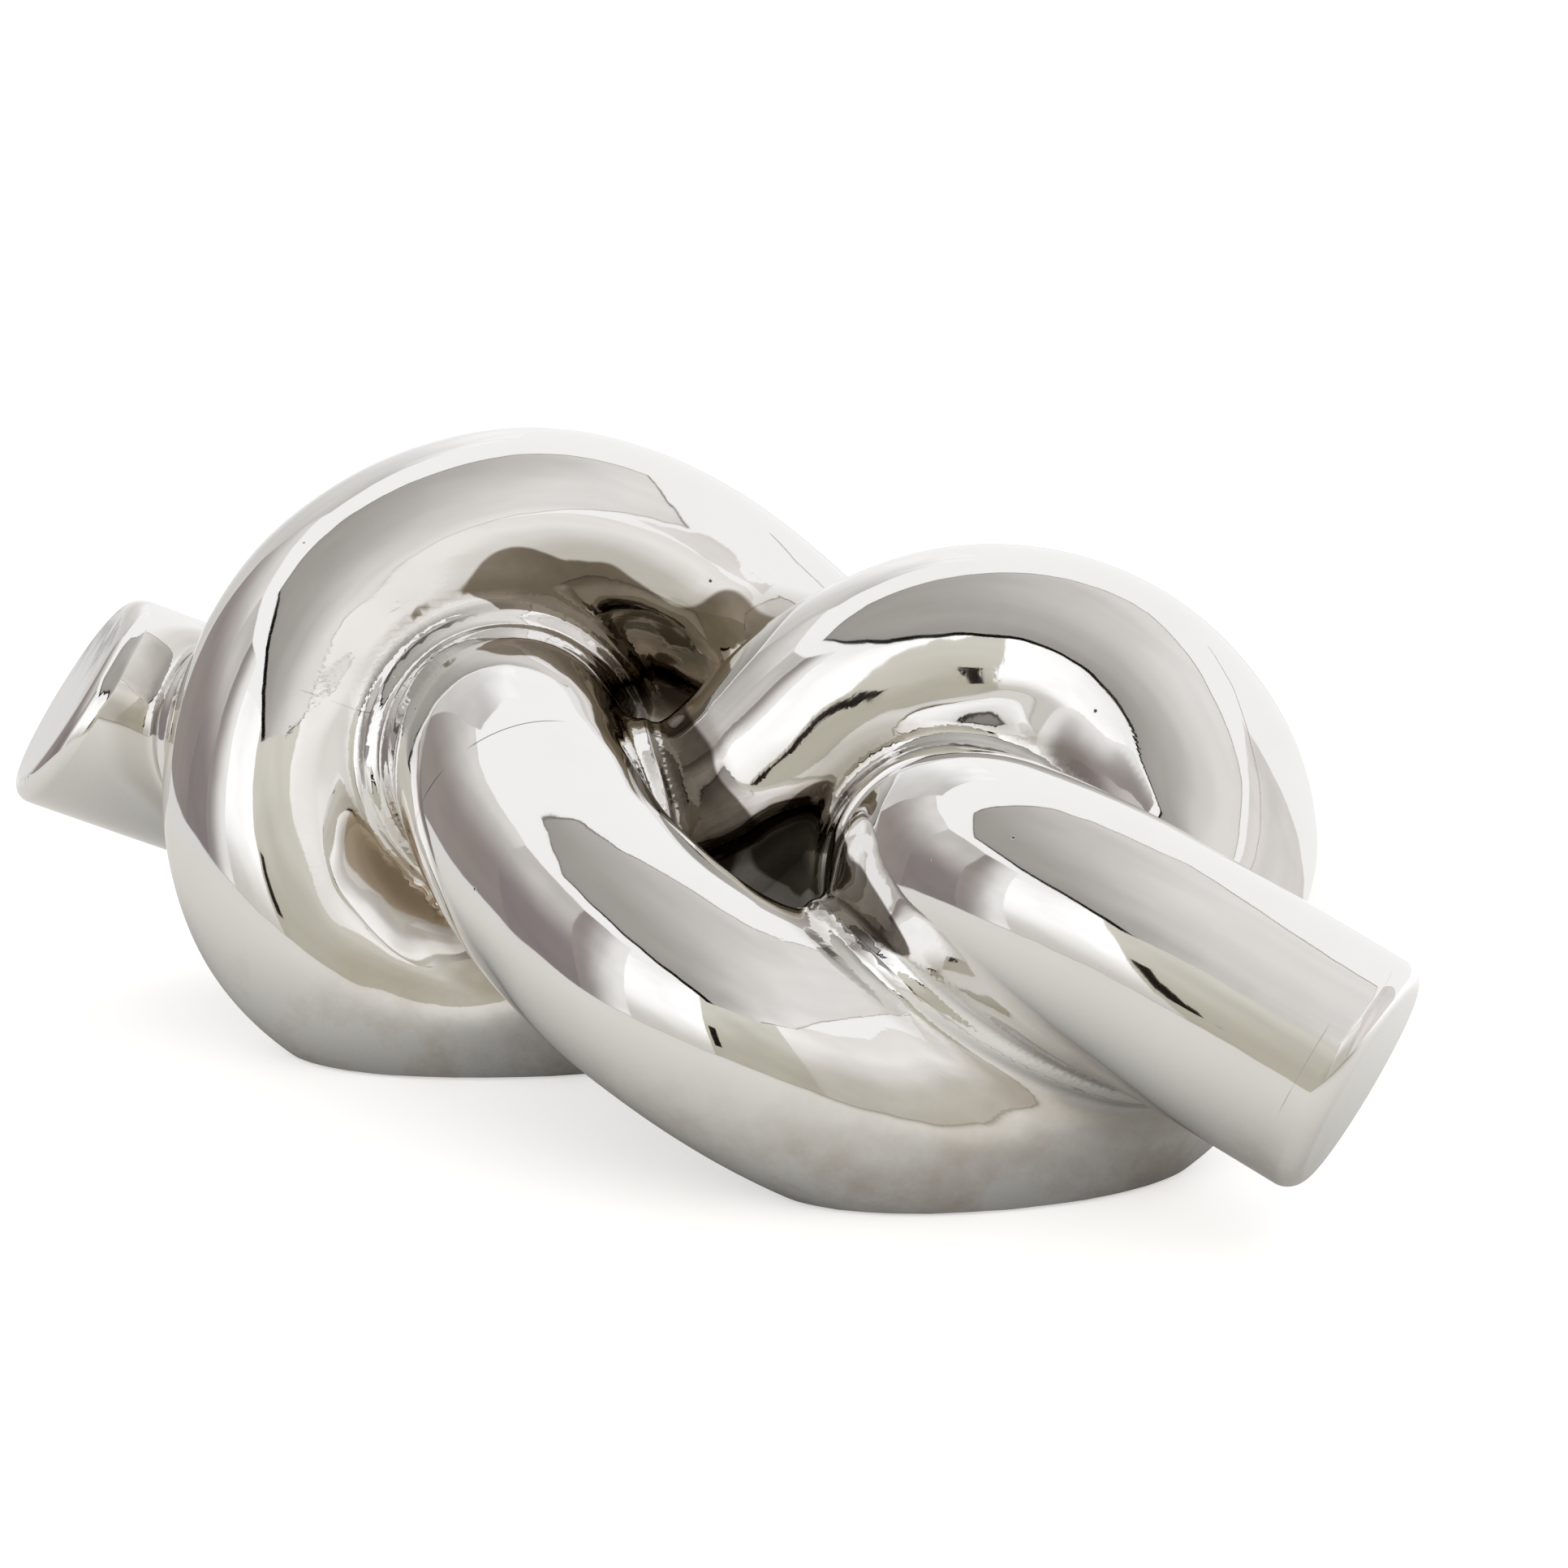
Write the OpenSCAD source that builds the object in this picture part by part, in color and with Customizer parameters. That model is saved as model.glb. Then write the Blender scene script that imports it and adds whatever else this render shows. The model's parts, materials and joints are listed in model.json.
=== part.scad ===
// Ceramic knot sculpture: a figure-eight knot tied from one thick hollow tube,
// lying on two flats cut into its underside.
// The tube was cast in short curved lengths that are luted end to end with slip.
// A disc closes each end, and slip fills the creases where strands touch.
// Frame: X along the knot, left end to right end, Y from front to back, Z up.
// The origin lies on the table, under the middle of the knot's outer box.

/* [Overall size] */
// Length over both cut ends
knot_l = 303.5; // [290:0.5:320]
// Depth from the front foot to the back of the left loop
knot_w = 148.6; // [142:0.2:162]
// Height of the left loop above the table
knot_h = 109.2; // [106:0.2:118]

/* [Tube] */
// Outside diameter of the tube that makes every strand
tube_d = 42.8; // [38:0.2:44]
// Outside diameter at the left end, which swells a little towards its face
left_end_d = 44.6; // [42.8:0.2:46]
// Thickness of the cast wall
wall = 5; // [3:0.5:8]
// Depth of tube cut away where the lowest strand meets the table
foot_cut = 11; // [7:0.5:13]
// Thickness of the floor left inside the flat feet
floor_t = 5; // [3:0.5:6]
// Diameter of the vent hole through each foot
vent_d = 6; // [3:0.5:9]

/* [Ends] */
// Thickness of the disc that closes each end
disc_t = 7; // [5.5:0.5:12]
// Rounding around the rim of each end
rim_r = 4; // [1:0.5:5]
// Upward lean of the left end's face, in degrees from a square cut
slant_up = 10; // [0:1:15]
// Lean of the same face towards the back, in degrees
slant_back = 6; // [0:1:12]

/* [Luted joints] */
// Depth of slip built up in the crease between two touching strands
crease_fill = 4; // [1:0.5:5]
// Thickness of the slip film between two strands that press together
press_gap = 0.2; // [0.2:0.1:1]

/* [Hidden] */
// Route of the tube's centreline, from the left end to the right end. The points
// pull a smooth curve after them, and only the first and the last lie on it.
ROUTE = [
    [-133, -32, 56],  // left end
    [ -91,  21, 26],  // passes under the left loop
    [ -55,  16, 39],
    [ -42, -18, 63],  // crest of the middle strand
    [  -4, -48, 44],
    [  47, -59, 27],
    [  74, -24,  4],  // front foot
    [  93,  13, 23],
    [  80,  38, 57],
    [  43,  39, 80],  // crown of the right loop
    [   6,  15, 67],
    [ -13,   2, 21],  // dives under the middle strand
    [ -48, -23,  4],  // left foot
    [ -76, -44, 27],
    [ -86, -22, 75],
    [ -59,  21, 95],  // crown of the left loop
    [ -27,  50, 65],
    [  11,  57, 26],  // passes under the right loop
    [  38,  27, 24],
    [  52, -15, 52],  // crosses over the front strand
    [  86, -31, 55],
    [ 142, -16, 28]   // right end
];

// Seams between the cast lengths, counted in route points from the left end
SEAM_UNDER_LEFT_LOOP = 0.95;
SEAM_MIDDLE_CREST = 3.65;
SEAM_UNDER_RIGHT_END = 6.9;
SEAM_UNDER_MIDDLE = 11;
SEAM_LEFT_SIDE = 13.7;
SEAM_UNDER_RIGHT_LOOP = 16.5;
SEAM_INSIDE_RIGHT_LOOP = 19.1;

// Lowest places of the two feet, counted in route points
FRONT_FOOT = 5.95;
LEFT_FOOT = 11.9;

// Fineness of the sweep: corners of a ring, distance between rings, rings on a
// rim, samples of the centreline, and points that stand for the other strands
SIDES = 32;
RING_STEP = 5.7;
RIM_STEPS = 4;
SAMPLES_PER_POINT = 16;
AXIS_STEP = 2.8;
// Half the stretch of centreline that gives its direction at a point
HEADING_STEP = 0.5;
// Rounds in which the swelling of a crease settles
FILL_ROUNDS = 5;
// A turn between two rings smaller than this is none
NO_TURN = 1e-9;
// How far a cutting tool runs past the surface that it cuts
OVERCUT = 1;

tube_r = tube_d / 2;
low_z = tube_r - foot_cut;
top_z = knot_h - tube_r;

// Strands nearer than this along the tube are neighbours and not a crossing
crossing_run = 1.5 * tube_d;
// Distance from a crossing at which its crease fill starts
fill_reach = 4 * crease_fill;
// The left end's slant fades out along this much of the tube, and its swelling
// along this much
slant_run = tube_r;
swell_run = 2.8 * tube_d;

function unit(v) = v / norm(v);
function last(v) = v[len(v) - 1];
function span(v) = max(v) - min(v);
function column(v, k) = [for (p = v) p[k]];
function total(v, k = 0) = k < len(v) ? v[k] + total(v, k + 1) : 0;

// Uniform cubic B-spline that starts and ends on its first and last points
function with_ends(p) =
    let (n = len(p))
    concat([2 * p[0] - p[1]], p, [2 * p[n - 1] - p[n - 2]]);
function spline(knots, t) =
    let (i = max(0, min(floor(t), len(knots) - 4)), u = t - i, v = 1 - u)
    (pow(v, 3) * knots[i]
     + (3 * pow(u, 3) - 6 * pow(u, 2) + 4) * knots[i + 1]
     + (3 * pow(v, 3) - 6 * pow(v, 2) + 4) * knots[i + 2]
     + pow(u, 3) * knots[i + 3]) / 6;
function sample(knots) =
    let (runs = (len(knots) - 3) * SAMPLES_PER_POINT)
    [for (i = [0 : runs]) spline(knots, i / SAMPLES_PER_POINT)];

// Radius of the tube at a distance from the left end
function radius_at(s) = tube_r + (left_end_d / 2 - tube_r) * max(0, 1 - s / swell_run);

// How far the rim of an end reaches along X past the middle of its face
function rim_reach(out, lean, end_r) =
    let (x_axis = [1, 0, 0], along = x_axis * out)
    (end_r - rim_r) * norm(x_axis - along * out + along * lean) + rim_r * (1 - abs(along));

// Lean of the left face, as a slope across the tube
function left_lean(along) =
    let (side = unit(cross([0, 0, 1], along)), rise = unit(cross(along, side)))
    tan(slant_up) * rise + tan(slant_back) * side;

// The chosen route is stretched a little along each axis, so that the finished
// tube meets the overall length, depth and height
raw = sample(with_ends(ROUTE));
out_left = unit(ROUTE[0] - ROUTE[1]);
out_right = unit(last(ROUTE) - ROUTE[len(ROUTE) - 2]);
reach_left = rim_reach(out_left, -left_lean(-out_left), left_end_d / 2);
reach_right = rim_reach(out_right, [0, 0, 0], tube_r);
stretch = [
    (knot_l - reach_left - reach_right) / (last(ROUTE)[0] - ROUTE[0][0]),
    (knot_w - tube_d) / span(column(raw, 1)),
    (top_z - low_z) / span(column(raw, 2))
];
shift = [
    reach_left - knot_l / 2 - stretch[0] * ROUTE[0][0],
    -stretch[1] * (max(column(raw, 1)) + min(column(raw, 1))) / 2,
    low_z - stretch[2] * min(column(raw, 2))
];
knots = with_ends([for (p = ROUTE) [for (k = [0 : 2]) stretch[k] * p[k] + shift[k]]]);

// Length along the centreline at each sample, both ways round
centre = sample(knots);
steps = [for (i = [1 : len(centre) - 1]) norm(centre[i] - centre[i - 1])];
travelled = [for (i = 0, s = 0; i < len(centre); s = s + (i < len(steps) ? steps[i] : 0), i = i + 1) s];
tube_l = last(travelled);
t_of_s = [for (i = [0 : len(centre) - 1]) [travelled[i], i / SAMPLES_PER_POINT]];
s_of_t = [for (p = t_of_s) [p[1], p[0]]];
function at(s) = spline(knots, lookup(s, t_of_s));
function heading(s) = unit(at(min(s + HEADING_STEP, tube_l)) - at(max(s - HEADING_STEP, 0)));

// Places along the tube, in mm, where one cast piece ends and the next begins
joints = concat(
    [disc_t],
    [for (t = [SEAM_UNDER_LEFT_LOOP, SEAM_MIDDLE_CREST, SEAM_UNDER_RIGHT_END, SEAM_UNDER_MIDDLE,
               SEAM_LEFT_SIDE, SEAM_UNDER_RIGHT_LOOP, SEAM_INSIDE_RIGHT_LOOP]) lookup(t, s_of_t)],
    [tube_l - disc_t]
);
counts = [for (k = [0 : len(joints) - 2]) ceil((joints[k + 1] - joints[k]) / RING_STEP)];
stations = concat(
    [for (k = [0 : len(counts) - 1], i = [0 : counts[k] - 1])
        joints[k] + (joints[k + 1] - joints[k]) * i / counts[k]],
    [last(joints)]
);
spots = [for (s = stations) at(s)];
ways = [for (s = stations) heading(s)];

// A reference direction carried along the tube without twisting
function carried(side, p, q, way_p, way_q) =
    let (chord = q - p, c1 = chord * chord,
         side_m = side - 2 / c1 * (chord * side) * chord,
         way_m = way_p - 2 / c1 * (chord * way_p) * chord,
         turn = way_q - way_m, c2 = turn * turn)
    c2 < NO_TURN ? side_m : side_m - 2 / c2 * (turn * side_m) * turn;
sides = [for (i = 0, side = unit(cross([0, 0, 1], ways[0])); i < len(spots);
    side = i + 1 < len(spots) ? carried(side, spots[i], spots[i + 1], ways[i], ways[i + 1]) : side,
    i = i + 1) side];
function around(side, way, j) =
    cos(360 * j / SIDES) * side + sin(360 * j / SIDES) * cross(way, side);

// Where other strands come close to the tube at one place, as points on their
// centrelines, one list for each strand
axis_s = [for (i = [0 : floor(tube_l / AXIS_STEP)]) i * AXIS_STEP];
axis_p = [for (s = axis_s) at(s)];
function near(s, c) =
    let (ids = [for (i = [0 : len(axis_s) - 1])
            if (abs(axis_s[i] - s) > crossing_run && norm(axis_p[i] - c) < 2 * tube_r + fill_reach) i],
         starts = [for (k = [0 : len(ids) - 1]) if (k == 0 || ids[k] > ids[k - 1] + 1) k],
         ends = concat([for (k = [1 : len(starts) - 1]) starts[k]], [len(ids)]))
    len(ids) == 0 ? [] :
    [for (g = [0 : len(starts) - 1]) [for (k = [starts[g] : ends[g] - 1]) axis_p[ids[k]]]];

// Distance from the centre at which a direction meets the plane halfway to
// the closest other strand, and the length of the knot where it meets none
function halfway(c, u, strands) =
    min([knot_l, for (others = strands, b = others)
        let (k = u * (b - c)) if (k > 0) (b - c) * (b - c) / (2 * k)]);

// Surface of the tube in one direction, swollen by slip towards each crossing
function fill(gap) = gap < fill_reach ? crease_fill * pow(1 - max(gap, 0) / fill_reach, 2) : 0;
function swollen(c, u, strands, plain_r, r, rounds) =
    rounds == 0 || len(strands) == 0 ? r :
    let (p = c + r * u,
         fills = [for (others = strands) fill(min([for (b = others) norm(p - b)]) - r)])
    swollen(c, u, strands, plain_r, plain_r + total(fills), rounds - 1);
function outer_reach(c, u, strands, plain_r) =
    min(halfway(c, u, strands) - press_gap / 2, swollen(c, u, strands, plain_r, plain_r, FILL_ROUNDS));
function inner_reach(c, u, strands, plain_r) =
    let (round_r = min(halfway(c, u, strands) - press_gap / 2, plain_r) - wall,
         down = -u[2])
    down > 0 ? min(round_r, (c[2] - floor_t) / down) : round_r;

// Slope of the ring's plane at a distance along the tube
function lean_at(s, way) =
    s < slant_run ? left_lean(way) * min(1, (slant_run - s) / (slant_run - disc_t)) : [0, 0, 0];
function placed(c, u, way, r, lean) = c + r * u + r * (lean * u) * way;

function ring(i, inside) =
    let (s = stations[i], c = spots[i], way = ways[i], strands = near(s, c),
         plain_r = radius_at(s), lean = lean_at(s, way))
    [for (j = [0 : SIDES - 1])
        let (u = around(sides[i], way, j),
             r = inside ? inner_reach(c, u, strands, plain_r) : outer_reach(c, u, strands, plain_r))
        placed(c, u, way, r, lean)];

// Triangles of the band between two rings of points
function band(low, high, flip) =
    [for (j = [0 : SIDES - 1])
        let (k = (j + 1) % SIDES, a = low + j, b = low + k, c = high + k, d = high + j)
        each (flip ? [[a, c, b], [a, d, c]] : [[a, b, c], [a, c, d]])];

// One hollow cast length, from one seam to the next
module cast_length(k) {
    first = total([for (i = [0 : 1 : k - 1]) counts[i]]);
    rings = counts[k] + 1;
    rows = concat(
        [for (i = [0 : rings - 1]) ring(first + i, false)],
        [for (i = [rings - 1 : -1 : 0]) ring(first + i, true)]
    );
    bands = len(rows);
    color("silver")
        polyhedron(
            points = [for (row = rows) each row],
            faces = [for (i = [0 : bands - 1]) each band(i * SIDES, (i + 1) % bands * SIDES, true)]
        );
}

// A cast length that stands on the table, with its flat and its vent hole
module footed_length(k, foot_t) {
    foot = spline(knots, foot_t);
    color("silver")
        difference() {
            cast_length(k);
            translate([foot[0] - knot_l / 2, foot[1] - knot_w / 2, -tube_d])
                cube([knot_l, knot_w, tube_d]);
            translate([foot[0], foot[1], -OVERCUT])
                cylinder(h = floor_t + 2 * OVERCUT, d = vent_d, $fn = SIDES);
        }
}

// Solid disc that closes one end, with a rounded rim on its outer face
module end_disc(tip_s, tip_way, side, lean) {
    // Each rim ring is drawn in by one value and set back by the other
    rim = [for (i = [0 : RIM_STEPS])
        let (a = 90 * i / RIM_STEPS) rim_r * [1 - cos(a), 1 - sin(a)]];
    depths = concat([[0, disc_t]], rim);
    inwards = tip_s == 0 ? 1 : -1;
    rows = [for (d = depths)
        let (c = at(tip_s + inwards * d[1]))
        [for (j = [0 : SIDES - 1])
            placed(c, around(side, tip_way, j), tip_way, radius_at(tip_s) - d[0], lean)]];
    top = len(rows) - 1;
    flip = tip_s == 0;
    back = [for (j = [0 : SIDES - 1]) j];
    face = [for (j = [0 : SIDES - 1]) top * SIDES + j];
    color("silver")
        polyhedron(
            points = [for (row = rows) each row],
            faces = concat(
                [for (i = [0 : top - 1]) each band(i * SIDES, (i + 1) * SIDES, !flip)],
                [flip ? [for (j = [SIDES - 1 : -1 : 0]) back[j]] : back],
                [flip ? face : [for (j = [SIDES - 1 : -1 : 0]) face[j]]]
            )
        );
}

module left_end_disc() { end_disc(0, ways[0], sides[0], left_lean(ways[0])); }
module left_end_tube() { cast_length(0); }
module left_tuck() { cast_length(1); }
module middle_strand() { footed_length(2, FRONT_FOOT); }
module right_loop() { cast_length(3); }
module left_foot() { footed_length(4, LEFT_FOOT); }
module left_loop() { cast_length(5); }
module inner_rise() { cast_length(6); }
module right_end_tube() { cast_length(7); }
module right_end_disc() { end_disc(tube_l, last(ways), last(sides), [0, 0, 0]); }

left_end_disc();
left_end_tube();
left_tuck();
middle_strand();
right_loop();
left_foot();
left_loop();
inner_rise();
right_end_tube();
right_end_disc();
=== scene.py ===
# %% [markdown]
# This lesson dresses a ceramic knot sculpture: a figure-eight knot of one thick tube, slip cast
# in short lengths, luted together, glazed, and fired again with a film of silver lustre.
# The construction is already settled. It comes in as a frame of ten hollow lengths and discs,
# and every piece made here stands in the place of one of them.

# %% Open the frame
import json
import math

import bpy
import numpy as np
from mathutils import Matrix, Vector

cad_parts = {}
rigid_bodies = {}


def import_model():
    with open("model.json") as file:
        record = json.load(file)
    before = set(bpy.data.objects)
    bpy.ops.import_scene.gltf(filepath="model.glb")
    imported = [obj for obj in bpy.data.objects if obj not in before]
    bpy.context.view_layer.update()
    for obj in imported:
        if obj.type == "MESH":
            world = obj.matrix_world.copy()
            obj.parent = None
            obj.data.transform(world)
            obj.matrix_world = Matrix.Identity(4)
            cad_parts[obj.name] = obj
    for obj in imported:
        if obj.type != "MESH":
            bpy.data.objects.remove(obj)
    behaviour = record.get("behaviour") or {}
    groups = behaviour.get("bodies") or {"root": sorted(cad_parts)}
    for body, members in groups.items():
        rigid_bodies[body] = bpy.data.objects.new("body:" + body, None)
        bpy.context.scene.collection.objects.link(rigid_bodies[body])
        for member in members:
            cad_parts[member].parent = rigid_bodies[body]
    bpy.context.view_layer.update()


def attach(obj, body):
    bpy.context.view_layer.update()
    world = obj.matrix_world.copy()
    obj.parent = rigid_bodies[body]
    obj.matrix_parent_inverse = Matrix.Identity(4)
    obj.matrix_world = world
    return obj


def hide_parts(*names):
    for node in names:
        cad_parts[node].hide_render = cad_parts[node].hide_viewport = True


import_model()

bpy.ops.object.select_all(action="DESELECT")

# %% [markdown]
# One mirror-bright tube can't hide a wrong curve, so the shape comes first. Its sizes are the
# ones that the construction uses, in millimetres, and so is the route: a few round points that
# pull a smooth centreline after them.

# %% The sizes that drive the shape
MM = 0.001
KNOT_L, KNOT_W, KNOT_H = 303.5, 148.6, 109.2
TUBE_D = 42.8
LEFT_END_D = 44.6  # the free left end is a little thicker
WALL = 5.0
FOOT_CUT = 11.0  # depth of the two foot flats in the round of the tube
FLOOR_T = 5.0  # clay over each flat
VENT_D = 6.0
DISC_T = 7.0  # the discs that close the two ends
RIM_R = 4.0
SLANT_UP, SLANT_BACK = math.radians(10), math.radians(6)  # lean of the left face
CREASE_FILL = 4.0  # depth of the slip where two strands touch
tube_r = TUBE_D / 2

ROUTE = np.array([
    [-133, -32, 56],  # left end
    [-91, 21, 26],    # passes under the left loop
    [-55, 16, 39],
    [-42, -18, 63],   # crest of the middle strand
    [-4, -48, 44],
    [47, -59, 27],
    [74, -24, 4],     # front foot
    [93, 13, 23],
    [80, 38, 57],
    [43, 39, 80],     # crown of the right loop
    [6, 15, 67],
    [-13, 2, 21],     # dives under the middle strand
    [-48, -23, 4],    # left foot
    [-76, -44, 27],
    [-86, -22, 75],
    [-59, 21, 95],    # crown of the left loop
    [-27, 50, 65],
    [11, 57, 26],     # passes under the right loop
    [38, 27, 24],
    [52, -15, 52],    # crosses over the front strand
    [86, -31, 55],
    [142, -16, 28],   # right end
], float)
# Places on the route are counted in its points: 3.65 is past point 3, on the way to point 4.
SEAMS = [0.95, 3.65, 6.9, 11, 13.7, 16.5, 19.1]
FRONT_FOOT, LEFT_FOOT = 5.95, 11.9
NODES = ["left_end_disc", "left_end_tube", "left_tuck", "middle_strand", "right_loop",
         "left_foot", "left_loop", "inner_rise", "right_end_tube", "right_end_disc"]
print("route:", len(ROUTE), "points,", len(NODES), "pieces")

# %% [markdown]
# The centreline is a uniform cubic B-spline, which is also what Blender's own NURBS path draws.
# Writing it once as a function gives any point, its direction and its bend, and those are
# needed later to lay every surface point exactly on the glaze.

# %% A smooth curve from round points
def unit(v):
    return v / np.linalg.norm(v, axis=-1, keepdims=True)


def with_ends(p):
    """Adds a point past each end, so that the curve starts and stops at the route's own ends."""
    return np.vstack([2 * p[0] - p[1], p, 2 * p[-1] - p[-2]])


def spline(knots, t, order=0):
    """Point on the curve at t, counted in route points, or its first or second derivative."""
    t = np.asarray(t, float)
    i = np.clip(np.floor(t).astype(int), 0, len(knots) - 4)
    u = (t - i)[..., None]
    v = 1 - u
    weights = [
        [v**3, 3 * u**3 - 6 * u**2 + 4, 3 * v**3 - 6 * v**2 + 4, u**3],
        [-3 * v**2, 9 * u**2 - 12 * u, 12 * v - 9 * v**2, 3 * u**2],
        [6 * v, 18 * u - 12, 18 * v - 12, 6 * u],
    ][order]
    return sum(w * knots[i + k] for k, w in enumerate(weights)) / 6


route_end = len(ROUTE) - 1
print("the curve starts at", spline(with_ends(ROUTE), 0.0).round(1), "and has", route_end, "spans")

# %% [markdown]
# The three outer sizes are given, so the route is stretched to them. Along X the tube ends in a
# leaning disc at the left and a square one at the right, and the stretch allows for how far
# their rims reach past the centreline.

# %% Stretch the route to the real size
MEASURE_STEPS, LINE_STEPS = 16, 24


def left_lean(along):
    """Lean of the left face, as a slope across the tube."""
    side = unit(np.cross([0, 0, 1], along))
    rise = unit(np.cross(along, side))
    return math.tan(SLANT_UP) * rise + math.tan(SLANT_BACK) * side


def rim_reach(out, lean, end_r):
    """How far the rim of an end reaches along X past the middle of its face."""
    x_axis = np.array([1.0, 0, 0])
    along = out[0]
    face = (end_r - RIM_R) * np.linalg.norm(x_axis - along * out + along * lean)
    return face + RIM_R * (1 - abs(along))


raw = spline(with_ends(ROUTE), np.linspace(0, route_end, route_end * MEASURE_STEPS + 1))
out_left, out_right = unit(ROUTE[0] - ROUTE[1]), unit(ROUTE[-1] - ROUTE[-2])
reach_left = rim_reach(out_left, -left_lean(-out_left), LEFT_END_D / 2)
reach_right = rim_reach(out_right, np.zeros(3), tube_r)
low_z, top_z = tube_r - FOOT_CUT, KNOT_H - tube_r
stretch = np.array([
    (KNOT_L - reach_left - reach_right) / (ROUTE[-1][0] - ROUTE[0][0]),
    (KNOT_W - TUBE_D) / np.ptp(raw[:, 1]),
    (top_z - low_z) / np.ptp(raw[:, 2]),
])
shift = np.array([
    reach_left - KNOT_L / 2 - stretch[0] * ROUTE[0][0],
    -stretch[1] * (raw[:, 1].max() + raw[:, 1].min()) / 2,
    low_z - stretch[2] * raw[:, 2].min(),
])
knots = with_ends(ROUTE * stretch + shift)

line_t = np.linspace(0, route_end, route_end * LINE_STEPS + 1)
line = spline(knots, line_t)
line_s = np.r_[0, np.cumsum(np.linalg.norm(np.diff(line, axis=0), axis=1))]
tube_l = line_s[-1]
joints = [DISC_T, *np.interp(SEAMS, line_t, line_s), tube_l - DISC_T]
print("tube length:", round(tube_l, 1), "mm, seams at", [round(float(s)) for s in joints])

# %% [markdown]
# The glazed skin is kept as a field: a function that says how far any point is from it, and
# which way. A field can be asked again at any time, by the mesh, by the normals and by the
# glaze. The first part of it is one bare strand: from a guess along the centreline, a few
# Newton steps find the nearest place, and the skin is one radius away from there.

# %% Distance to one strand
SWELL_RUN = 2.8 * TUBE_D
NEWTON_STEPS = 3
SLOWEST = 0.3  # keeps a step short where the tube bends round the point
PAST_END = 0.6  # how far a place may run past either end, in route points


def radius_at(s):
    return tube_r + (LEFT_END_D / 2 - tube_r) * np.clip(1 - s / SWELL_RUN, 0, 1)


def to_strand(p, t):
    """Distance from p to the skin of the strand near t, its direction, and the place along it."""
    for _ in range(NEWTON_STEPS):
        offset = spline(knots, t) - p
        way, bend = spline(knots, t, 1), spline(knots, t, 2)
        speed = (way * way).sum(-1)
        slope = np.maximum(speed + (offset * bend).sum(-1), SLOWEST * speed)
        t = np.clip(t - (offset * way).sum(-1) / slope, -PAST_END, route_end + PAST_END)
    away = p - spline(knots, t)
    d = np.linalg.norm(away, axis=-1)
    s = np.interp(t, line_t, line_s)
    return d - radius_at(s), away / np.maximum(d, 1e-9)[:, None], s


on_foot = to_strand(spline(knots, np.array([FRONT_FOOT])), np.array([FRONT_FOOT]))
print("the middle of the front foot is", round(float(-on_foot[0][0]), 2), "mm under its skin")

# %% [markdown]
# The two free ends are closed by discs, and a wet sponge rounded their rims. So the tube is cut
# off at a plane, and the corner between plane and tube is drawn as a quarter circle.

# %% The rounded ends
END_RUN = 1.4 * TUBE_D
end_points = [spline(knots, 0.0), spline(knots, float(route_end))]
end_ways = [unit(spline(knots, 0.0, 1)), unit(spline(knots, float(route_end), 1))]
end_normals = [-unit(end_ways[0] - left_lean(end_ways[0])), end_ways[1]]


def rounded_end(f, g, p, point, normal):
    """Cuts the tube off square to normal at point; f is the distance field and g its slope."""
    beyond = (p - point) @ normal
    here = (np.linalg.norm(p - point, axis=1) < END_RUN) & (beyond > -RIM_R)
    a, b = f + RIM_R, beyond + RIM_R
    corner = np.hypot(np.maximum(a, 0), np.maximum(b, 0))
    cut = corner + np.minimum(np.maximum(a, b), 0) - RIM_R
    wa = np.where(corner > 0, np.maximum(a, 0) / np.maximum(corner, 1e-9), a > b)
    wb = np.where(corner > 0, np.maximum(b, 0) / np.maximum(corner, 1e-9), a <= b)
    turned = g * wa[:, None] + normal * wb[:, None]
    return np.where(here, cut, f), np.where(here[:, None], turned, g)


print("the left face looks along", end_normals[0].round(2), "and the right", end_normals[1].round(2))

# %% [markdown]
# The hand-made tube isn't quite true. A mirror shows that as reflections that swell and pinch
# along a strand, so a few long faint waves are added to the skin, 18 to 64 mm long and up to a
# tenth of a millimetre high. They run in random directions from a fixed seed.

# %% Long faint waves
WAVE_LENGTHS = np.array([64, 55, 47, 40, 34, 29, 25, 21, 18], float)
WAVE_STEEPNESS = 0.0016
WAVE_HEIGHTS = WAVE_LENGTHS * WAVE_STEEPNESS
WAVE_SEED = 4
wave_random = np.random.default_rng(WAVE_SEED)
wave_ways = unit(wave_random.normal(size=(len(WAVE_LENGTHS), 3)))
wave_ways = wave_ways * 2 * math.pi / WAVE_LENGTHS[:, None]
wave_starts = wave_random.uniform(0, 2 * math.pi, len(WAVE_LENGTHS))


def waves(p):
    """Height of the skin's unevenness, and its slope."""
    phase = p @ wave_ways.T + wave_starts
    return np.sin(phase) @ WAVE_HEIGHTS, (np.cos(phase) * WAVE_HEIGHTS) @ wave_ways


print("waves:", len(WAVE_LENGTHS), "of up to", round(float(WAVE_HEIGHTS.max()), 2), "mm")

# %% [markdown]
# Where two strands press together the slip fills their crease, and the glaze rounds it again.
# A smooth union of distances draws exactly that: where two strands are within `BLEND` of each
# other, the lower distance is pulled down a little, most where they are equal, by a quarter of
# `BLEND`, which is the depth of the fill. A fingertip wiped that slip along the crease and left
# low ridges beside it. They are a cosine of how much nearer one strand is than the other, so
# they run along the crease, and they fade out with distance from it. They come first.

# %% Ridges of wiped slip
WIPES = ((15.0, 26.0, 0.24, 0.15),  # step, run and height in mm, and how much the step wanders
         (10.0, 24.0, 0.09, 0.0))
WANDER_RUN = 15.0


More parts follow.
